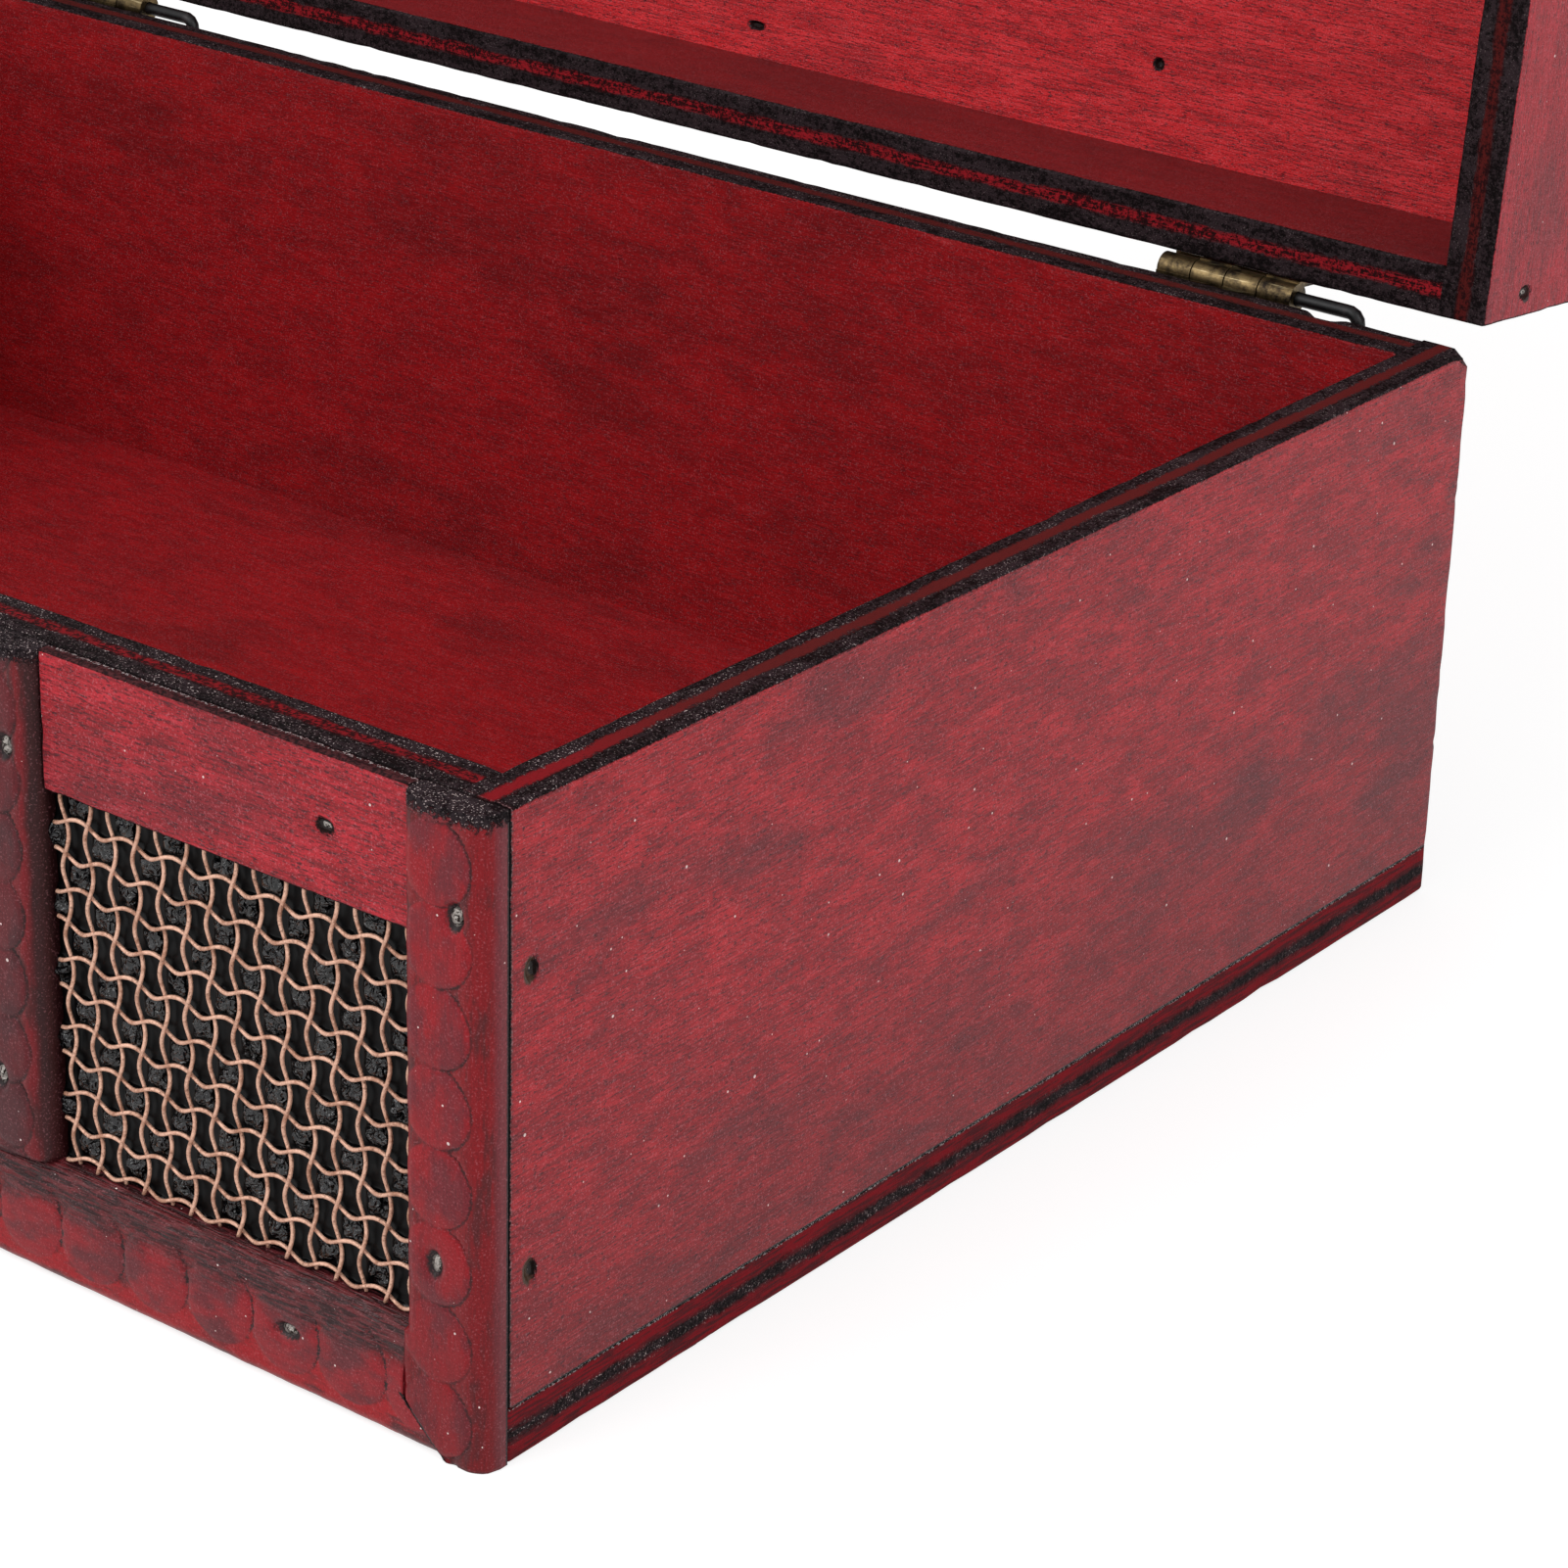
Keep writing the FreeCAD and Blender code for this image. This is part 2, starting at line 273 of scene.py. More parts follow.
def brad_tips(node):
    """Where each brad of a node ends outside, the way into the wood, and its half size."""
    half_way_up = 40 * mm
    found = []
    for low, high in loose_parts(node):
        size = high - low
        run = max(range(3), key=lambda k: size[k])
        tip = (low + high) / 2
        outer = tip[run] > (half_way_up if run == Z else 0)
        tip[run] = high[run] if outer else low[run]
        into = Vector([0, 0, 0])
        into[run] = -1 if outer else 1
        found.append((tip, into, size / 2))
    return found


def board(low, high, spacing, worn, dents=(), joined=()):
    """A sawn board, worn along the edges that no joined board covers. Each dent has
    a middle, radii and a push, and is cut into finer faces at shares of its radii."""
    dent_cuts = (-1.3, -0.95, -0.6, -0.25, 0.25, 0.6, 0.95, 1.3)
    long_wear, short_wear = 2.4 * mm, 0.9 * mm
    shape = bmesh.new()
    size = high - low
    bmesh.ops.create_cube(shape, size=1.0, matrix=Matrix.Translation((low + high) / 2)
                          @ Matrix.Diagonal((*size, 1)))
    for k in range(3):
        runs = [e for e in shape.edges if abs((e.verts[0].co - e.verts[1].co)[k]) > 0.5 * size[k]]
        cuts = round(size[k] / spacing) - 1
        if cuts > 0:
            bmesh.ops.subdivide_edges(shape, edges=runs, cuts=cuts, use_grid_fill=True)
    for spot, radii, push in dents:
        for k in [k for k in range(3) if push[k] == 0]:
            for step in dent_cuts:
                cut = spot.copy()
                cut[k] += step * radii[k]
                if low[k] + 2 * worn < cut[k] < high[k] - 2 * worn:
                    bmesh.ops.bisect_plane(shape, geom=[*shape.verts, *shape.edges, *shape.faces],
                                           dist=0.01 * mm, plane_co=cut,
                                           plane_no=Matrix.Identity(3)[k])
    shape.normal_update()
    sharp = []
    for e in shape.edges:
        spot = (e.verts[0].co + e.verts[1].co) / 2
        covered = any(all(box[0][k] - 0.01 * mm < spot[k] < box[1][k] + 0.01 * mm for k in range(3))
                      for box in joined)
        if e.calc_face_angle() > 1 and not covered:
            sharp.append(e)
    made = bmesh.ops.bevel(shape, geom=sharp, offset=worn, segments=2, profile=0.5,
                           affect="EDGES", material=-1)
    middle = (low + high) / 2
    for face in made["faces"]:
        face.smooth = True
    for v in {v for face in made["faces"] for v in face.verts}:
        wear = noise.noise(v.co / long_wear) + 0.6 * noise.noise(v.co / short_wear)
        inward = Vector([-1 if v.co[k] > middle[k] else 1 for k in range(3)])
        for k in range(3):
            if min(v.co[k] - low[k], high[k] - v.co[k]) > 1.2 * worn:
                inward[k] = 0
        v.co += inward * max(0, wear) * 0.35 * worn
    for v in shape.verts:
        for spot, radii, push in dents:
            away = Vector([(v.co[k] - spot[k]) / radii[k] for k in range(3)]).length
            v.co += push * math.exp(-away ** 4)
    return shape


def split(place):
    """The three coordinates of a place."""
    parts = place.finish.node("ShaderNodeSeparateXYZ", {}, {0: place}).socket.node
    return [Measure(place.finish, socket) for socket in parts.outputs]


def stretch(place, lengths):
    """The place measured in another length along each axis."""
    return place.finish.node("ShaderNodeVectorMath", {"operation": "DIVIDE"},
                             {0: place, 1: tuple(lengths)})


def mottle(place, lengths, detail=3.0, roughness=0.55, distortion=0.0):
    """Cloudy variation from 0 to 1 whose spots have these lengths."""
    return place.finish.node("ShaderNodeTexNoise", {}, {
        "Vector": stretch(place, lengths), "Scale": 1.0, "Detail": detail,
        "Roughness": roughness, "Distortion": distortion})


def ease(value, low, high):
    """0 below low, 1 above high and smooth between them."""
    return value.finish.node("ShaderNodeMapRange", {"interpolation_type": "SMOOTHSTEP"},
                             {"Value": value, "From Min": low, "From Max": high})


def tint(share, one, other, way="MIX"):
    """A mix of two colours by share."""
    return share.finish.node("ShaderNodeMix", {"data_type": "RGBA", "blend_type": way},
                             {0: share, 6: one, 7: other}, 2)


def closed_place(finish, body):
    """Millimetres on the closed box, and the way that the surface faces there."""
    turn = closing[body].to_3x3()
    angles = tuple(turn.to_euler())
    shift = tuple((hinge_axis - turn @ hinge_axis) / mm)
    spot = finish.node("ShaderNodeTexCoord", {}, {}, "Object")
    spot = finish.node("ShaderNodeMapping", {}, {"Vector": spot, "Location": shift,
                                                 "Rotation": angles, "Scale": (1 / mm,) * 3})
    facing = finish.node("ShaderNodeTexCoord", {}, {}, "Normal")
    facing = finish.node("ShaderNodeMapping", {"vector_type": "VECTOR"},
                         {"Vector": facing, "Rotation": angles})
    return spot, facing


def dust(one, other):
    """Fine pale specks that settled in the lacquer, few and far between."""
    apart = 3.2
    flat = one.finish.node("ShaderNodeCombineXYZ", {}, {0: one / apart, 1: other / apart})
    speck = one.finish.node("ShaderNodeTexVoronoi", {"voronoi_dimensions": "2D"},
                            {"Vector": flat, "Scale": 1.0})
    size = Measure(one.finish, speck.socket.node.outputs["Color"])
    return speck < size ** 4 * 0.06


def oval(where, middle, radii):
    """0 in the middle of an oval and 1 on its outline; it runs through the missing axis."""
    parts = [(where[k] - middle[k]) / radii[k] for k in range(3) if radii[k]]
    return (parts[0] * parts[0] + parts[1] * parts[1]) ** 0.5


def lacquer(finish, colour, roughness, height, depth, raw):
    """Close a finish with a lacquered wood surface whose relief is depth deep;
    raw is the share of torn wood that drank the lacquer and stays dull."""
    relief = finish.node("ShaderNodeBump", {}, {"Strength": 1.0, "Distance": depth * mm,
                                                "Height": height})
    wood = finish.node("ShaderNodeBsdfPrincipled", {}, {
        "Base Color": colour, "Roughness": roughness, "Normal": relief, "IOR": 1.30})
    dull = finish.node("ShaderNodeBsdfPrincipled", {}, {
        "Base Color": colour, "Roughness": 0.8, "Normal": relief, "IOR": 1.05})
    surface = finish.node("ShaderNodeMixShader", {}, {0: raw, 1: wood, 2: dull})
    finish.node("ShaderNodeOutputMaterial", {}, {"Surface": surface})
    return finish


wood_relief = 0.17
dull_share = 0.85
stain = {
    "outside": ("#931922", "#5A2127", "#B4262E"),
    "inside": ("#880C12", "#5C090C", "#980F14"),
    # The lid tone is the outside stain made lighter for the lid, painted light.
    "lid": ("#A41E2A", "#74242C", "#B62A36"),
    "pale": ("#C01B22", "#82161E", "#D22C32"),
    # The shade tone is a darker copy of the inside stain for the rails inside the lid, painted shade.
    "shade": ("#681113", "#4A1011", "#741416"),
    "strip": ("#A01822", "#721C25", "#C02A36"),
}
wood = {part: paint(code) for part, code in {
    # 461518 darkens the tray and posts towards the foot as painted shade.
    # BE4C56 is partly pale grain and partly painted sheen of the lacquer.
    "painted low shade": "#461518", "dark fibre": "#54131A", "pore": "#34101A", "pale fibre and sheen": "#BE4C56",
    # C88890 is for painted glints of the lacquer.
    "dark fleck": "#2E0C12", "glint fleck": "#C88890", "dust": "#E8D4D0",
    # B4A4A2 is for painted glints on torn wood.
    "torn": "#0E090A", "torn brown": "#2C2225", "painted glint": "#B4A4A2",
    "ply gap": "#220C0E", "browned ply": "#4A1E1C", "floor ply": "#7C1820",
    "floor ply shade": "#4C1D21", "strip edge": "#241517", "strip edge brown": "#4E282A",
    # B4ACAC is for painted glints along cracks.
    "crack": "#080304", "crack shade": "#32090C", "crack lip": "#A07A7C", "crack painted glint": "#B4ACAC",
}.items()}


def stained_ply(name, box, body, grain, through, outer, inner, side=1, bare=0.35, cracks=(),
                dents=(), dark_core=False, core="#7C181E"):
    """Stain on one board: grain and through are the axes of its grain and thickness.
    bare tells how little of the red ply shows on sawn edges, 1 for none."""
    finish = Finish(bpy.data.materials.new(name))
    low, high = [corner / mm for corner in box]
    across = 3 - grain - through
    spot, facing = closed_place(finish, body)
    where = split(spot)
    face = split(facing)[through]

    def grained(along, wide, detail=3.0, roughness=0.6, distortion=0.0):
        lengths = [wide] * 3
        lengths[grain] = along
        return mottle(spot, lengths, detail, roughness, distortion)

    clouds = ease(grained(27, 10, 3.0, 0.6, 0.3), 0.48, 0.70)
    patches = grained(6.0, 2.0, 4.0, 0.7, 0.4)
    fibres = grained(4.2, 0.2, 3.0, 0.75)
    dashes = ease(grained(0.7, 0.14, 1.0), 0.60, 0.66)
    speckle = mottle(spot, (0.42, 0.42, 0.42), 3.0, 0.75)
    grit = mottle(spot, (0.17, 0.17, 0.17), 1.0)
    outside = ease(face * side, -0.1, 0.1)

    def tone(names):
        plain, dark, light = [paint(code) for code in stain[names]]
        colour = tint(ease(patches, 0.35, 0.62), light, plain)
        cloudy = 0.72 if names == outer else 0.45
        return tint((clouds * cloudy + ease(patches, 0.5, 0.7) * 0.2) & 0.9, colour, dark)

    colour = tone(outer) if outer == inner else tint(outside, tone(inner), tone(outer))
    bold = 1.0 if inner == "pale" else 0.6 + 0.4 * outside
    # On the tray the outside is painted darker towards the foot: painted shade.
    if body == "base":
        colour = tint((1 - ease(where[Z], 1, 34)) * outside * 0.44, colour, wood["painted low shade"])
    colour = tint((1 - ease(fibres, 0.36, 0.56)) * bold * 0.65, colour, wood["dark fibre"])
    colour = tint(dashes * bold * 0.75, colour, wood["pore"])
    # Pale fibres are partly pale grain and partly painted sheen of the lacquer.
    colour = tint(ease(fibres, 0.56, 0.70) * bold * 0.35, colour, wood["pale fibre and sheen"])
    colour = tint((1 - ease(grit, 0.30, 0.44)) * bold * 0.4, colour, wood["dark fleck"])
    # Pale flecks here are painted glints of the lacquer.
    colour = tint(ease(grit, 0.58, 0.72) * bold * 0.3, colour, wood["glint fleck"])
    colour = tint(dust(where[grain], where[across]) * outside * 0.9, colour, wood["dust"])

    # On sawn edges a red middle ply lies between torn dark ones, and in the floor the reverse.
    middle = (low[through] + high[through]) / 2
    half = (high[through] - low[through]) / 2
    ply = abs((where[through] - middle) / half) + (patches - 0.5) * 0.5
    rough = 0.15 if body == "lid" else 1 - 0.6 * ease(where[Y], -58, 20)
    torn = tint(ease(speckle * 0.6 + patches * 0.4, 0.44, 0.56), wood["torn"], wood["torn brown"])
    # Pale specks on torn plies are painted glints of the lacquer, fewer towards the back of the tray and
    # fewest on the lid.
    painted_glints = ease(grit, 0.65, 0.68) * (0.25 + 0.75 * ease(patches, 0.44, 0.58)) * rough
    torn = tint(painted_glints, torn, wood["painted glint"])
    if dark_core:
        streaks = mottle(spot, (4.5, 4.5, 0.3), 3.0, 0.7)
        red = tint(ease(streaks, 0.42, 0.60), wood["floor ply"], wood["floor ply shade"])
        sawn = tint(ease(ply + (streaks - 0.5) * 0.7, 0.12, 0.42), torn, red)
        sawn_depth = 0.5
    else:
        layer = ease(ply + (speckle - 0.5) * 0.4, 0.19, 0.34)
        red = tint(ease(speckle * 0.6 + fibres * 0.4, bare, bare + 0.10), wood["ply gap"], paint(core))
        if body == "base":
            red = tint(ease(where[Y], -68, -40) * 0.8, red, wood["browned ply"])
        sawn = tint(layer, red, torn)
        sawn_depth = (layer * 0.8 + 0.2) * rough
    if outer == "strip":
        sawn = tint(ease(speckle, 0.42, 0.60), wood["strip edge"], wood["strip edge brown"])
    edge = 1 - ease(abs(face) + (speckle - 0.5) * 0.3, 0.84, 0.97)
    colour = tint(edge, colour, sawn)

    jagged = (speckle - 0.5) * 1.6
    crevice = 0
    for axis, line, reach in cracks:
        away = abs(where[axis] - line) / reach + jagged
        near = edge if dark_core or axis == through else outside
        colour = tint((1 - ease(away, 1.0, 2.6)) * near * 0.4, colour, wood["crack shade"])
        lip = (1 - ease(away, 1.2, 1.5)) * near
        colour = tint(lip * ease(grit, 0.45, 0.6) * 0.6, colour, wood["crack lip"])
        crevice = ((1 - ease(away, 0.8, 1.1)) * near) | crevice
        colour = tint(crevice, colour, wood["crack"])
        # On cracks across the board's thickness, pale specks at the lip are painted glints.
        if axis == through:
            lip = (1 - ease(away, 1.3, 1.8)) * near
            colour = tint(lip * ease(grit, 0.56, 0.60) * 0.8, colour, wood["crack painted glint"])
    for dent, radii, code in dents:
        pit = 1 - ease(oval(where, dent, radii) + jagged * 0.4, 0.85, 1.15)
        colour = tint(pit, colour, paint(code))
    roughness = 0.44 + (fibres - 0.5) * 0.25 - crevice * 0.2
    height = (fibres * 0.3 - dashes * 0.2) * bold + edge * sawn_depth * (speckle + grit * 0.5)
    height = height + crevice * (speckle + grit)
    return lacquer(finish, colour, roughness, height, wood_relief, edge * dull_share)


def brads_in(box, through, *nodes):
    """The brads whose heads show in a board: a dent in its shape and a mark in its stain."""
    low, high = box
    near = 0.1 * mm
    punched = 0.34 * mm
    shaped, marked = [], []
    for node in nodes:
        for tip, into, half in brad_tips(node):
            if all(low[k] - near < tip[k] < high[k] + near for k in range(3)) and into[through]:
                radii = half.copy()
                radii[through] = 0.35 * mm
                shaped.append((tip, radii, into * punched))
                flat = half / mm
                flat[through] = 0
                marked.append((tip / mm, flat, "#1C1210"))
    return shaped, marked


rim_chips = ((89.05, (1.8, 0.9, 0.9), (0, -0.7, -0.35)), (97.5, (7.0, 0.6, 1.5), (0, -0.45, 0)))
corner_chip = (Vector((1.3, 2.0, 1.2)) * mm, Vector((-0.25, -0.45, -0.5)) * mm)
filler_marks = ((-0.25, 1.25, "#3E2C20"), (0.3, 0.7, "#160D0B"))
board_wear, strip_wear = 0.35 * mm, 0.2 * mm
tray_boards = ("base_floor_panel", "base_left_side", "base_right_side", "base_front_panel",
               "base_back_panel")
for node, grain, through, side, spacing, bare in (
    ("base_floor_panel", X, Z, -1, 3.0, 0.36),
    ("base_left_side", Y, X, -1, 1.6, 0.33),
    ("base_right_side", Y, X, 1, 1.6, 0.33),
    ("base_front_panel", X, Y, -1, 1.6, 0.46),
    ("base_back_panel", X, Y, 1, 1.6, 0.44),
):
    box = closed_box(node)
    low, high = [corner / mm for corner in box]
    shaped, marked = brads_in(box, through, "side_brads", "floor_brads")
    cracks = []
    if through == X:
        cracks = [(Y, low.y, 0.32), (Z, low.z, 0.12), (Y, high.y, 0.15)]
        marked = [(m + Vector((0, shift, 0)), r * size, code) for m, r, _ in marked
                  for shift, size, code in filler_marks]
    if through == Z:
        cracks = [(Z, high.z, 0.16)]
    if node == "base_right_side":
        shaped.append((high * mm, *corner_chip))
    if node == "base_back_panel":
        for x, radii, push in rim_chips:
            shaped.append((Vector((x, high.y, high.z)) * mm, Vector(radii) * mm, Vector(push) * mm))
    finish = stained_ply(node + "_stain", box, "base", grain, through, "outside", "inside", side, bare,
                         cracks, marked, through == Z)
    joined = [closed_box(other) for other in tray_boards if other != node]
    fit(node.replace("base_", "tray_"), board(*box, spacing * mm, board_wear, shaped, joined), finish,
        "stained_plywood", node)


# The lid is a shallow tray of the same plywood, standing open, and brighter
# inside where the light stain shows the curved grain of the veneer.
nail_points = ((53.9, 55.9, 0.55, 0.55), (1.5, 61.5, 1.0, 0.4))
filled_nail = (67.75, 65.1)
lid_boards = ("lid_top_panel", "lid_left_rail", "lid_right_rail", "lid_front_rail", "lid_back_rail")
for node, grain, through, side, spacing, bare in (
    ("lid_top_panel", X, Z, 1, 3.0, 0.46),
    ("lid_left_rail", Y, X, -1, 1.6, 0.44),
    ("lid_right_rail", Y, X, 1, 1.6, 0.44),
    ("lid_front_rail", X, Y, -1, 1.6, 0.46),
    ("lid_back_rail", X, Y, 1, 1.6, 0.46),
):
    box = closed_box(node)
    low, high = [corner / mm for corner in box]
    shaped, marked = brads_in(box, through, "lid_rail_brads")
    if node == "lid_top_panel":
        for x, y, along, wide in nail_points:
            shaped.append((Vector((x, y, low.z)) * mm, Vector((along, wide, 0.5)) * mm,
                           Vector((0, 0, 0.5 * mm))))
            marked.append((Vector((x, y, low.z)), Vector((along, wide, 0)), "#1A0A0A"))
    if node == "lid_right_rail":
        marked.append((Vector((high.x, *filled_nail)), Vector((0, 0.9, 0.7)), "#2A1614"))
    # Inside the rails the darker shade stain is painted shade.
    # The lid's outer faces take the lighter lid stain, which is painted light.
    inner = "pale" if node == "lid_top_panel" else "shade"
    finish = stained_ply(node + "_stain", box, "lid", grain, through, "lid", inner, side, bare,
                         (), marked, core="#4C1716" if through == X else "#8C1A22")
    joined = [closed_box(other) for other in lid_boards if other != node]
    fit(node.replace("panel", "board").replace("rail", "frame_board"),
        board(*box, spacing * mm, board_wear, shaped, joined), finish, "stained_plywood", node)


# Thin solid-wood strips cover the front boards between the mouldings, under
# the rim of the tray and over the full height of the lid.
for k in range(4):
    for node, body in (("front_strip_%d" % (k + 1), "base"), ("lid_strip_%d" % (k + 1), "lid")):
        box = closed_box(node)
        low, high = [corner / mm for corner in box]
        shaped, marked = brads_in(box, Y, "strip_brads")
        cracks = [(Y, high.y, 0.4), (X, high.x, 0.25)]
        finish = stained_ply(node + "_stain", box, body, X, Y, "strip", "strip", -1, 0.6, cracks, marked)
        fit(node.replace("strip", "facing"), board(*box, 1.2 * mm, strip_wear, shaped), finish,
            "stained_plywood", node)


# Carved mouldings trim the front: a post at each corner and three between, and
# a wider one along the foot, mitred into the corner posts. A row of overlapping
# discs is pressed in each, and the stain is rubbed back beside the discs.
mitre = 4.3
post_width = 8.4
east, north, up = Vector((1, 0, 0)), Vector((0, 1, 0)), Vector((0, 0, 1))
bar_thickness = 3.0
foot_z = closed_box("bottom_moulding")[1].z / mm
foot_reach = closed_box("bottom_moulding")[1].x / mm - mitre
front_face = closed_box("base_front_panel")[0].y
carved = {part: paint(code) for part, code in {
    "torn": "#0E090B", "torn brown": "#2E2629", "ridge": "#220F11", "ridge red": "#5E2226",
    # C08088 is for painted glints of the lacquer.
    "brad pit": "#1E1415", "seam": "#0A0506", "dark fleck": "#220A0E", "glint fleck": "#C08088",
}.items()}


class DiscRow:
    """A row of discs pressed in a bar, in millimetres across (a) and along (s)."""

    def __init__(self, middle, first, pitch, reach, half_length, over):
        self.middle = middle
        self.first = first
        self.pitch = pitch
        self.reach = reach
        self.half_length = half_length
        self.over = over

    def relief(self, a, s):
        """Height that the pressing leaves; the disc on the side of over laps the next."""
        u = (a - self.middle) / self.reach
        m = (s - self.first + self.pitch / 2) % self.pitch - self.pitch / 2
        near = math.hypot(u, m / self.half_length)
        lap = math.hypot(u, (m - self.over * self.pitch) / self.half_length)
        out = lap if lap < 1 else near
        groove = max(0, 1 - abs(out - 1) * self.reach / 0.26)
        if lap >= 1:
            groove = max(groove, 1 - abs(lap - 1) * self.reach / 0.2)
        dome = 0.10 * (1 - out ** 4) if out < 1 else -0.04
        pressed = 1 if lap < 1 or m > 0 else 0.35
        if self.over > 0:
            pressed = 0.15 + 0.85 * min(1, max(0, 1.6 * a / self.middle - 1.1))
        else:
            pressed *= min(1, max(0, (a - self.middle) / self.reach + 0.8))
        pressed *= 0.75 + 0.9 * noise.noise(Vector((a, s, self.pitch)) / 1.6)
        return dome - 0.26 * pressed * groove ** 1.3

    def masks(self, a, s, jagged):
        """The same row for a finish: 1 inside a disc, and 1 on a pressed line."""
        m = s.maths("WRAP", s - self.first, self.pitch / 2, -self.pitch / 2)
        u = (a - self.middle) / self.reach
        one = m / self.half_length
        two = (m - self.over * self.pitch) / self.half_length
        near = (one * one + u * u) ** 0.5
        lap = (two * two + u * u) ** 0.5
        lapped = lap < 1
        out = lap * lapped + near * (1 - lapped)
        line = 1 - ease(abs(out - 1) * self.reach + jagged, 0.0, 0.19)
        behind = (1 - ease(abs(lap - 1) * self.reach + jagged, 0.0, 0.17)) * (1 - lapped)
        if self.over > 0:
            line = (line | behind) * (0.1 + 0.8 * ease(a, 0.7 * self.middle, 1.3 * self.middle))
        else:
            line = line * (0.3 + 0.7 * (ease(m, -0.5, 0.5) | lapped)) | behind
            line = line * ease(u, -0.95, -0.25)
        return 1 - ease(out, 0.96, 1.02), line


def pressed_slab(width, length, step, lay):
    """A closed slab with a flat back whose face is laid out by a formula."""
    shape = bmesh.new()
    bmesh.ops.create_grid(shape, x_segments=round(width / step), y_segments=round(length / step),
                          size=0.5)
    rim = [e for e in shape.edges if e.is_boundary]
    skirt = bmesh.ops.extrude_edge_only(shape, edges=rim)["geom"]
    foot = {v for v in skirt if isinstance(v, bmesh.types.BMVert)}
    lowest = [e for e in skirt if isinstance(e, bmesh.types.BMEdge) and set(e.verts) <= foot]
    bmesh.ops.contextual_create(shape, geom=lowest)
    for v in shape.verts:
        a, s, n = lay(v.co.x + 0.5, v.co.y + 0.5)
        v.co = (a, s, 0 if v in foot else n)
    return shape


def carved_bar(width, starts, ends, discs, pits, place, ridged=0.0, flush=0):
    """A bar with round shoulders whose face is pressed with discs and pitted by brads;
    ridged is how deeply its far shoulder is torn along the grain, and flush names the
    side whose shoulder is left square at the foot."""
    shoulder = 2.0
    skin = 0.12
    step = 0.3
    pit_depth = 0.7

    def lay(across, along):
        a = across * width
        s = starts(a) + along * (ends(a) - starts(a))
        turn = shoulder if a > width / 2 else 0.6 * shoulder
        if flush and (a < width / 2) == (flush > 0) and s < foot_z - 0.2:
            turn = 0.1
        inset = max(0, turn - min(a, width - a))
        n = bar_thickness - skin - turn + math.sqrt(turn ** 2 - inset ** 2)
        n += discs.relief(a, s) * (0.3 if inset > 1.2 else 1)
        n += 0.06 * noise.noise(Vector((a, s, width)) / 2.5)
        n += 0.03 * noise.noise(Vector((a, s, width)) / 0.7)
        if ridged:
            torn = min(1, max(0, (a - 0.55 * width) / (0.2 * width)))
            n -= ridged * torn * (0.5 + noise.noise(Vector((a / 0.7, s / 4, width))))
            n -= ridged * torn * (0.3 + 0.6 * noise.noise(Vector((a / 0.35, s / 1.5, 0))))
        for pit_a, pit_s, half_a, half_s in pits:
            away = math.hypot((a - pit_a) / half_a, (s - pit_s) / half_s)
            n -= pit_depth * math.exp(-away ** 4)
        return a, s, min(n, bar_thickness)

    shape = pressed_slab(width, ends(0) - starts(width / 2), step, lay)
    bmesh.ops.transform(shape, matrix=place @ Matrix.Scale(mm, 4), verts=shape.verts)
    bmesh.ops.recalc_face_normals(shape, faces=shape.faces)
    out = place.to_3x3().col[2]
    for face in shape.faces:
        face.smooth = face.normal.dot(out) > 0.15
    return shape


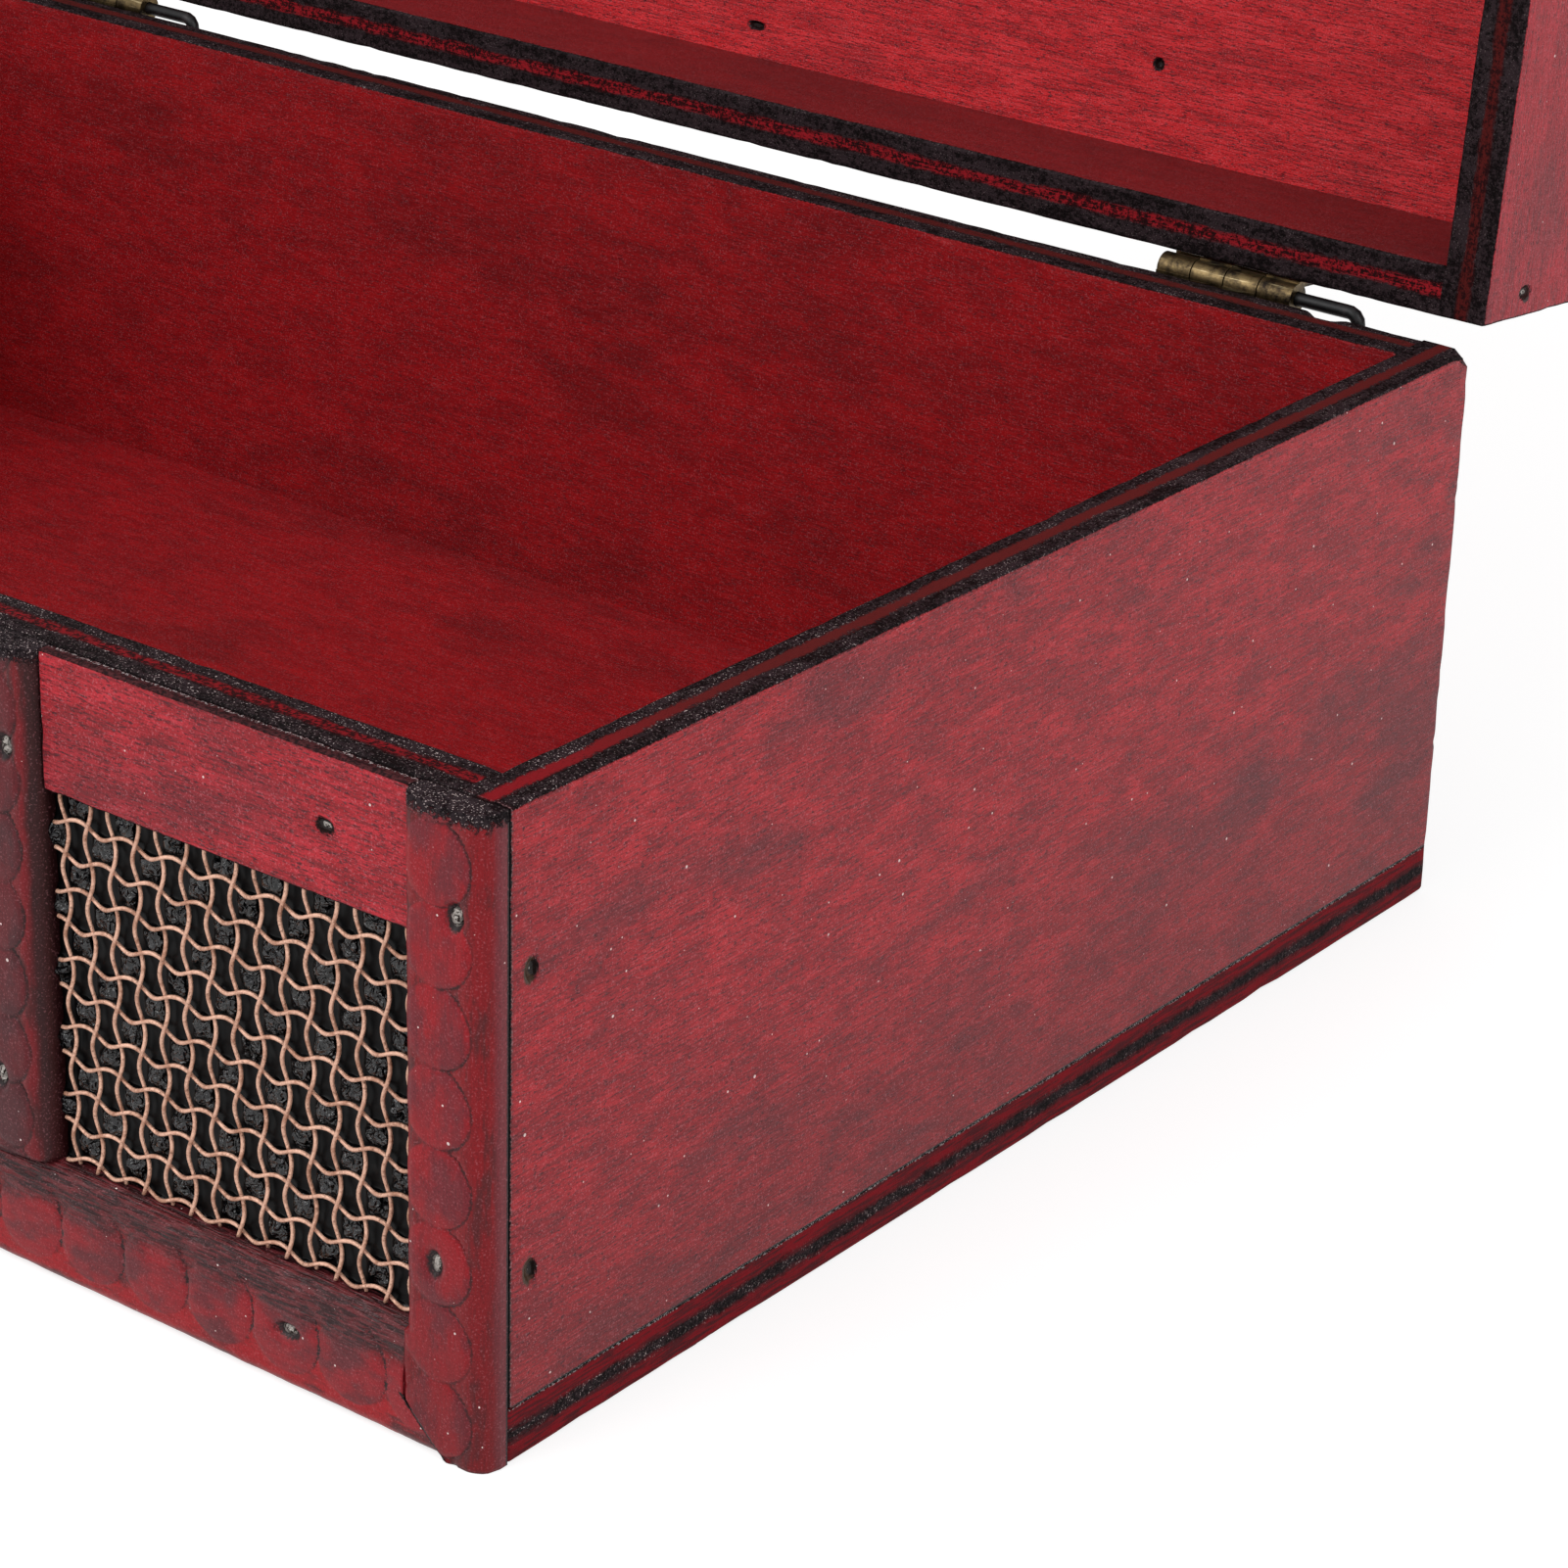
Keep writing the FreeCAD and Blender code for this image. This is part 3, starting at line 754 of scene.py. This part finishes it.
def carved_stain(name, body, box, across, along, discs, tones, pits=(), ridged=False):
    """Stain on a carved bar: darkened along its outlines and its ends, and on its shoulders with painted
    shade.
    """
    finish = Finish(bpy.data.materials.new(name))
    low, high = [corner / mm for corner in box]
    spot, facing = closed_place(finish, body)
    where = split(spot)
    a = where[across] - low[across]
    s = where[along]
    width = high[across] - low[across]
    disc_red, disc_dark, flank, flank_dark, shoulder, groove = [paint(code) for code in tones]

    def grained(long, wide, detail=2.0, roughness=0.7):
        lengths = [wide] * 3
        lengths[along] = long
        return mottle(spot, lengths, detail, roughness)

    clouds = grained(5.5, 3.2, 4.0, 0.6)
    patches = ease(grained(7, 1.8, 3.0), 0.46, 0.64)
    fibres = grained(3.6, 0.3, 2.0)
    speckle = mottle(spot, (0.42, 0.42, 0.42), 3.0, 0.75)
    grit = mottle(spot, (0.17, 0.17, 0.17), 1.0)
    jagged = (speckle - 0.5) * (1.0 if ridged else 0.5)
    disc, line = discs.masks(a, s, jagged)
    colour = tint(ease(clouds, 0.40, 0.62), disc_red, disc_dark)
    colour = tint(1 - disc, colour, tint(patches, flank, flank_dark))
    # Where the face rolls back into the shoulders, and on the far side of each divider, the bar is painted
    # darker: painted shade.
    height_above = where[Z] - low.z if across + along == X + Y else high.y - where[Y]
    shoulder_shade = 1 - ease(height_above + (clouds - 0.5) * 0.8, 1.0, 1.7)
    colour = tint(shoulder_shade * 0.85, colour, shoulder)
    if discs is divider_discs:
        colour = tint(ease(a + (clouds - 0.5), width - 1.3, width - 0.6) * 0.9, colour, shoulder)
    pressed = (0.7 if ridged else 0.35) + 0.65 * ease(clouds, 0.36, 0.56)
    colour = tint(line * pressed, colour, groove)
    colour = tint((1 - ease(fibres, 0.36, 0.56)) * 0.16, colour, groove)
    # The posts of the tray are painted darker towards the foot too: painted shade.
    if body == "base" and along == Z:
        colour = tint((1 - ease(s, 1, 34)) * 0.3, colour, wood["painted low shade"])
    torn = tint(ease(speckle * 0.6 + clouds * 0.4, 0.44, 0.56), carved["torn"], carved["torn brown"])
    # Pale specks on the torn ends are painted glints of the lacquer.
    painted_glints = ease(grit, 0.64, 0.68) * (0.3 + 0.7 * ease(clouds, 0.44, 0.58))
    torn = tint(painted_glints, torn, wood["painted glint"])
    if ridged:
        ridge = ease(a + (clouds - 0.5) * 3 + jagged, 0.55 * width, 0.78 * width)
        ridge_colour = tint(ease(fibres, 0.42, 0.60), carved["ridge"], carved["ridge red"])
        colour = tint(ridge * 0.95, colour, ridge_colour)
    ends = ease(abs(split(facing)[along]), 0.6, 0.9) * (0.4 if ridged else 1.0)
    if along == Z:
        ends = ends | ease(s + (speckle - 0.5) * 3.2, high.z - 1.4, high.z - 0.7)
    colour = tint(ends, colour, torn)
    for pit_a, pit_s, half_a, half_s in pits:
        middle, radii = [0.0] * 3, [0.0] * 3
        middle[across], middle[along] = low[across] + pit_a, pit_s
        radii[across], radii[along] = half_a, half_s
        pit = 1 - ease(oval(where, middle, radii) + jagged * 1.2, 0.8, 1.1)
        colour = tint(pit, colour, carved["brad pit"])
    if body == "base":
        seam = 1 - ease(abs(where[Y] - front_face / mm) + jagged * 0.6, 0.12, 0.24)
        joint = abs(abs(where[X]) + where[Z] - foot_reach - mitre) + jagged
        seam = seam | ((1 - ease(joint, 0.08, 0.28)) * (where[Z] < mitre + 0.3))
        colour = tint(seam, colour, carved["seam"])
    colour = tint((1 - ease(grit, 0.30, 0.44)) * (1 - ends) * 0.35, colour, carved["dark fleck"])
    # Pale flecks here are painted glints of the lacquer.
    colour = tint(ease(grit, 0.58, 0.72) * (1 - ends) * 0.2, colour, carved["glint fleck"])
    colour = tint(dust(a + where[Y], s) * 0.9, colour, wood["dust"])
    roughness = 0.42 + (speckle - 0.5) * 0.3 - ends * 0.1
    height = fibres * 0.06 + speckle * 0.15 + ends * (speckle + grit * 0.5)
    if ridged:
        roughness = roughness - ridge * 0.12
        height = height + ridge * fibres * 1.2
    return lacquer(finish, colour, roughness, height, wood_relief, ends * dull_share)


def frame_of(across, along, out, origin):
    """Where a bar measured across, along and outward stands on the closed box."""
    place = Matrix((across, along, out)).transposed().to_4x4()
    place.translation = origin
    return place


# The fifth colour of each set darkens the shoulders as painted shade.
corner_tones = ("#92121C", "#6E1C25", "#7E0D15", "#541619", "#6E2830", "#2A0C0F")
divider_tones = ("#5E191F", "#4A1C21", "#70141B", "#4A1416", "#240D0E", "#1C0809")
foot_tones = ("#8E1C24", "#642228", "#9A141C", "#5A191D", "#4A171A", "#22080A")
corner_discs = DiscRow(3.5, 3.8, 6.9, 3.5, 3.6, 1)
divider_discs = DiscRow(4.2, 14.5, 6.15, 2.7, 3.4, 1)
foot_discs = DiscRow(5.2, 3.4, 7.3, 3.7, 3.8, -1)


def mitred(side):
    """Where a post begins: on the mitre at a corner, on the foot moulding elsewhere."""
    if side == 0:
        return lambda a: foot_z
    return lambda a: max(0, mitre - (a if side > 0 else post_width - a))


def driven(tip):
    """A post brad's place across the front; those far from mid height lie off the line."""
    mid_height, lean = 31.5, 0.07
    return tip.x / mm + lean * (tip.z / mm - mid_height)


for node, side in (("left_corner_moulding", -1), ("divider_moulding_1", 0), ("divider_moulding_2", 0),
                   ("divider_moulding_3", 0), ("right_corner_moulding", 1)):
    box = closed_box(node)
    low, high = [corner / mm for corner in box]
    discs, tones = (corner_discs, corner_tones) if side else (divider_discs, divider_tones)
    pits = [(driven(tip) - low.x, tip.z / mm, 0.85, 1.3) for tip, _, _ in brad_tips("post_brads")
            if box[0].x < tip.x < box[1].x]
    place = frame_of(east, up, -north, (box[0].x, front_face, 0))
    post = carved_bar(post_width, mitred(side), lambda a: high.z, discs, pits, place, flush=side)
    fit(node.replace("moulding", "post"), post,
        carved_stain(node + "_stain", "base", box, X, Z, discs, tones, pits), "stained_moulding", node)

box = closed_box("bottom_moulding")


def foot_end(a):
    return foot_reach + max(0, mitre - a)


pits = [(tip.z / mm, tip.x / mm, 0.75, 1.35) for tip, _, _ in brad_tips("bottom_moulding_brads")]
foot = carved_bar(foot_z, lambda a: -foot_end(a), foot_end, foot_discs, pits,
                  frame_of(up, east, -north, (0, front_face, 0)), ridged=0.28)
fit("foot_moulding", foot,
    carved_stain("foot_stain", "base", box, Z, X, foot_discs, foot_tones, pits, ridged=True),
    "stained_moulding", "bottom_moulding")


# On the lid the posts run on over its front, and five battens like them lie
# over its top, each held by two brads.
for k in range(5):
    at_corner = k in (0, 4)
    discs, tones = (corner_discs, corner_tones) if at_corner else (divider_discs, divider_tones)
    node = "lid_post_%d" % (k + 1)
    box = closed_box(node)
    low, high = [corner / mm for corner in box]
    post = carved_bar(post_width, lambda a: low.z, lambda a: high.z, discs, [],
                      frame_of(east, up, -north, (box[0].x, front_face, 0)))
    fit(node.replace("post", "front_post"), post,
        carved_stain(node + "_stain", "lid", box, X, Z, discs, tones), "stained_moulding", node)
    node = "lid_batten_%d" % (k + 1)
    box = closed_box(node)
    low, high = [corner / mm for corner in box]
    pits = [(tip.x / mm - low.x, tip.y / mm, 0.85, 1.3) for tip, _, _ in brad_tips("batten_brads")
            if box[0].x < tip.x < box[1].x]
    batten = carved_bar(post_width, lambda a: low.y, lambda a: high.y, discs, pits,
                        frame_of(east, north, up, (box[0].x, 0, box[0].z)))
    fit(node.replace("batten", "top_batten"), batten,
        carved_stain(node + "_stain", "lid", box, X, Y, discs, tones, pits), "stained_moulding", node)


# Behind each window lies a sheet of black embossed vinyl. Where the wires leave
# a wide low gap, the soft vinyl swells through it.
pitch_x, pitch_z = 2.68, 3.1
net_half_thickness = 0.25


def woven_grid(k):
    """First wire each way and the number of gaps of one window's net, from its solid."""
    low, high = [corner / mm for corner in closed_box("wire_mesh_%d" % k)]
    return (low.x + net_half_thickness, low.z + net_half_thickness,
            round((high.x - low.x) / pitch_x), round((high.z - low.z) / pitch_z))


vinyl = Finish(bpy.data.materials.new("black_vinyl"))
vinyl_spot, _ = closed_place(vinyl, "base")
vinyl_crease = mottle(vinyl_spot, (0.7, 0.7, 0.7), 1.0, 0.5, 1.0)
vinyl_swell = ease(front_face / mm - split(vinyl_spot)[Y], 0.38, 0.62)
vinyl_relief = vinyl.node("ShaderNodeBump", {}, {"Distance": 1.1 * mm,
                                                 "Height": vinyl_crease * vinyl_swell})
vinyl_face = vinyl.node("ShaderNodeBsdfPrincipled", {}, {
    "Base Color": tint(ease(vinyl_crease, 0.4, 0.7) * vinyl_swell, paint("#040405"), paint("#18181C")),
    "Roughness": 0.12, "IOR": 1.5, "Normal": vinyl_relief})
vinyl_hollow = vinyl.node("ShaderNodeBsdfPrincipled", {}, {
    "Base Color": paint("#060607"), "Roughness": 0.35, "IOR": 1.2, "Normal": vinyl_relief})
vinyl_surface = vinyl.node("ShaderNodeMixShader", {}, {0: vinyl_swell, 1: vinyl_hollow, 2: vinyl_face})
vinyl.node("ShaderNodeOutputMaterial", {}, {"Surface": vinyl_surface})

for k in range(1, 5):
    node = "mesh_backing_%d" % k
    low, high = [corner / mm for corner in closed_box(node)]
    x0, z0, columns, rows = woven_grid(k)

    def swell(across, along):
        sheet_face, half_wide, half_tall = 0.25, 0.46, 0.38
        a = across * (high.x - low.x)
        s = along * (high.z - low.z)
        i, j = (low.x + a - x0) / pitch_x, (low.z + s - z0) / pitch_z
        low_gap = (math.floor(i) + math.floor(j)) % 2 == 0
        u, w = i % 1 - 0.5, j % 1 - 0.5
        n = sheet_face + 0.1 * noise.noise(Vector((a, s, k)) / 0.9)
        if low_gap:
            ball = math.exp(-((u / half_wide) ** 4 + (w / half_tall) ** 4))
            n += ball * (0.6 + 0.55 * noise.noise(Vector((a, s, k)) / 0.75))
        return a, s, n

    sheet = pressed_slab(high.x - low.x, high.z - low.z, 0.26, swell)
    place = frame_of(east, up, -north, (low.x * mm, front_face, low.z * mm))
    bmesh.ops.transform(sheet, matrix=place @ Matrix.Scale(mm, 4), verts=sheet.verts)
    bmesh.ops.recalc_face_normals(sheet, faces=sheet.faces)
    for face in sheet.faces:
        face.smooth = face.normal.y < -0.2
    fit(node.replace("mesh_backing", "window_vinyl"), sheet, vinyl, "black_backing", node)


# Over the vinyl a net is woven from fine crimped copper wire. Each wire passes
# over and under its neighbours and swings from side to side between them. The
# ends are cut just short of the mouldings and the strip around the window.
swing = 0.14
wire_radius = 0.185
ring_spacing = 0.42
loose_end = 1.2
copper = Finish(bpy.data.materials.new("copper_wire_finish"))
copper_spot, _ = closed_place(copper, "base")
copper_patina = mottle(copper_spot, (1.3, 1.3, 1.3), 3.0, 0.7)
copper_pits = mottle(copper_spot, (0.25, 0.25, 0.25), 1.0)
copper_colour = tint(ease(copper_patina, 0.4, 0.7), paint("#E4B49C"), paint("#B07E66"))
copper_colour = tint(ease(copper_pits, 0.62, 0.72) * 0.6, copper_colour, paint("#6E4836"))
copper_relief = copper.node("ShaderNodeBump", {}, {"Distance": 0.12 * mm, "Height": copper_pits})
copper_face = copper.node("ShaderNodeBsdfPrincipled", {}, {
    "Base Color": copper_colour, "Metallic": 0.25, "Roughness": 0.42 + copper_patina * 0.2,
    "Normal": copper_relief})
copper.node("ShaderNodeOutputMaterial", {}, {"Surface": copper_face})


def straight_wires(starts, length, turn):
    """Straight six-sided wires with enough rings to be crimped."""
    shape = bmesh.new()
    for start in starts:
        bmesh.ops.create_cone(shape, cap_ends=True, segments=6, radius1=wire_radius,
                              radius2=wire_radius, depth=length,
                              matrix=Matrix.Translation(start) @ turn)
    along = turn.to_3x3() @ up
    runs = [e for e in shape.edges
            if abs((e.verts[0].co - e.verts[1].co).dot(along)) > 0.5 * length]
    bmesh.ops.subdivide_edges(shape, edges=runs, cuts=round(length / ring_spacing), use_grid_fill=True)
    return shape


for k in range(1, 5):
    node = "wire_mesh_%d" % k
    low, high = [corner / mm for corner in closed_box(node)]
    vinyl_low, vinyl_high = [corner / mm for corner in closed_box("mesh_backing_%d" % k)]
    x0, z0, columns, rows = woven_grid(k)
    middle_y = (low.y + high.y) / 2
    z_low, z_high = vinyl_low.z + 0.08, vinyl_high.z - 0.05
    x_low = max(vinyl_low.x + 0.15, x0 - loose_end)
    x_high = min(vinyl_high.x - 0.15, x0 + columns * pitch_x + loose_end)
    stand = straight_wires([(x0 + i * pitch_x, middle_y, (z_low + z_high) / 2)
                            for i in range(columns + 1)], z_high - z_low, Matrix.Identity(4))
    for v in stand.verts:
        i = round((v.co.x - x0) / pitch_x)
        phase = math.pi * (v.co.z - z0) / pitch_z
        way = 1 if i % 2 == 0 else -1
        v.co.x += way * -swing * pitch_x * math.sin(phase)
        v.co.y += way * wire_radius * math.cos(phase)
    lie = straight_wires([((x_low + x_high) / 2, middle_y, z0 + j * pitch_z)
                          for j in range(rows + 1)], x_high - x_low, Matrix.Rotation(math.pi / 2, 4, "Y"))
    for v in lie.verts:
        j = round((v.co.z - z0) / pitch_z)
        phase = math.pi * (v.co.x - x0) / pitch_x
        way = 1 if j % 2 == 0 else -1
        v.co.z += way * swing * pitch_z * math.sin(phase)
        v.co.y -= way * wire_radius * math.cos(phase)
    holder = bpy.data.meshes.new("lying_wires")
    lie.to_mesh(holder)
    lie.free()
    stand.from_mesh(holder)
    bpy.data.meshes.remove(holder)
    bmesh.ops.scale(stand, vec=(mm, mm, mm), verts=stand.verts)
    for face in stand.faces:
        face.smooth = len(face.verts) == 4
    fit(node.replace("wire_mesh", "copper_net"), stand, copper, "copper_wire", node)


# Flat steel brads hold the boards and the trim. They are punched a little
# below the surface, and their heads are bruised and stained along with the wood.
steel = Finish(bpy.data.materials.new("bruised_steel"))
steel_spot, _ = closed_place(steel, "base")
steel_grime = mottle(steel_spot, (0.45, 0.45, 0.45), 3.0, 0.7, 0.8)
steel_relief = steel.node("ShaderNodeBump", {}, {"Distance": 0.3 * mm, "Height": steel_grime})
steel_face = steel.node("ShaderNodeBsdfPrincipled", {}, {
    "Base Color": tint(ease(steel_grime, 0.47, 0.60), paint("#A8A29C"), paint("#241A16")),
    "Metallic": 0.85, "Roughness": 0.25 + steel_grime * 0.4, "Normal": steel_relief})
steel.node("ShaderNodeOutputMaterial", {}, {"Surface": steel_face})

head_height = 0.5
for node, sunk in (("side_brads", 0.30), ("post_brads", 0.34), ("bottom_moulding_brads", 0.42),
                   ("strip_brads", 0.24), ("floor_brads", 0.24), ("batten_brads", 0.42),
                   ("lid_rail_brads", 0.24)):
    heads = bmesh.new()
    for tip, into, half in brad_tips(node):
        if node == "post_brads":
            tip.x = driven(tip) * mm
        width = 0.35 if node == "side_brads" else 0.95
        radii = Vector([head_height * mm if into[k] else half[k] * width for k in range(3)])
        middle = tip + into * (sunk + head_height) * mm
        made = bmesh.ops.create_icosphere(heads, subdivisions=3, radius=1.0,
                                          matrix=Matrix.Translation(middle) @ Matrix.Diagonal((*radii, 1)))
        for v in made["verts"]:
            v.co += 0.11 * mm * noise.noise_vector(v.co / (0.6 * mm))
    for face in heads.faces:
        face.smooth = True
    fit(node.replace("brads", "brad_heads"), heads, steel, "brad_steel", node)


# Two butt hinges of antiqued brass are nailed on the outside of the back. Each
# turns on a black wire whose right end is bent down.
brass = Finish(bpy.data.materials.new("antiqued_brass"))
brass_spot, _ = closed_place(brass, "base")
brass_tarnish = mottle(brass_spot, (2.2, 2.2, 2.2), 4.0, 0.7)
# Pale tan streaks along the hinges are painted highlights.
brass_highlight_streaks = mottle(brass_spot, (4.0, 0.3, 0.3), 2.0, 0.6)
brass_colour = tint(ease(brass_tarnish, 0.38, 0.66), paint("#6A593C"), paint("#1C1510"))
brass_colour = tint(ease(brass_highlight_streaks, 0.6, 0.75) * 0.6, brass_colour, paint("#B0A07C"))
brass_relief = brass.node("ShaderNodeBump", {}, {"Distance": 0.05 * mm, "Height": brass_tarnish})
brass_face = brass.node("ShaderNodeBsdfPrincipled", {}, {
    "Base Color": brass_colour, "Metallic": 0.9, "Roughness": 0.2 + brass_tarnish * 0.3,
    "Normal": brass_relief})
brass.node("ShaderNodeOutputMaterial", {}, {"Surface": brass_face})

black = Finish(bpy.data.materials.new("blackened_wire"))
black_spot, _ = closed_place(black, "base")
black_wear = mottle(black_spot, (1.5, 1.5, 1.5), 3.0, 0.7)
black_face = black.node("ShaderNodeBsdfPrincipled", {}, {
    "Base Color": tint(ease(black_wear, 0.5, 0.75), paint("#0C0B0D"), paint("#2C2628")),
    "Metallic": 0.5, "Roughness": 0.3 + black_wear * 0.25})
black.node("ShaderNodeOutputMaterial", {}, {"Surface": black_face})

for side in ("left", "right"):
    for part in ("hinge_base_leaf", "hinge_lid_leaf"):
        solid = frame["nodes"]["%s_%s" % (side, part)]
        solid.data.materials.clear()
        solid.data.materials.append(brass.block)
    node = side + "_hinge_pin"
    low, high = closed_box(node)
    radius = (high.y - low.y) / 2
    bend = 1.1 * mm
    axis_z, turn_x = high.z - radius, high.x - radius - bend
    arc = math.pi / 2 * bend
    length = turn_x - low.x + arc + axis_z - bend - low.z
    wire = bmesh.new()
    bmesh.ops.create_cone(wire, cap_ends=True, segments=20, radius1=radius, radius2=radius, depth=length,
                          matrix=Matrix.Translation((low.x + length / 2, (low.y + high.y) / 2, axis_z))
                          @ Matrix.Rotation(math.pi / 2, 4, "Y"))
    runs = [e for e in wire.edges if abs((e.verts[0].co - e.verts[1].co).x) > 0.5 * length]
    ends = [e for e in wire.edges if e not in runs]
    bmesh.ops.subdivide_edges(wire, edges=runs, cuts=60, use_grid_fill=True)
    bmesh.ops.bevel(wire, geom=ends, offset=0.3 * mm, segments=3, profile=0.5, affect="EDGES",
                    material=-1)
    for v in wire.verts:
        past, out = v.co.x - turn_x, bend + v.co.z - axis_z
        if past > 0:
            turn = min(past, arc) / bend
            v.co.x = turn_x + out * math.sin(turn)
            v.co.z = axis_z - bend + out * math.cos(turn) - max(0, past - arc)
    for face in wire.faces:
        face.smooth = True
    fit(node.replace("hinge_pin", "pin_wire"), wire, black, "black_wire", node)

nail_crown = 0.45 * mm
for node in ("hinge_base_nails", "hinge_lid_nails"):
    heads = bmesh.new()
    for low, high in loose_parts(node):
        radius = (high.x - low.x) / 2
        centre = ((low.x + high.x) / 2, high.y - nail_crown, (low.z + high.z) / 2)
        made = bmesh.ops.create_uvsphere(heads, u_segments=20, v_segments=12, radius=radius)
        bmesh.ops.scale(heads, vec=(1, nail_crown / radius, 1), verts=made["verts"])
        bmesh.ops.translate(heads, vec=centre, verts=made["verts"])
    for face in heads.faces:
        face.smooth = True
    fit(node.replace("nails", "nail_heads"), heads, brass, "antique_brass", node)
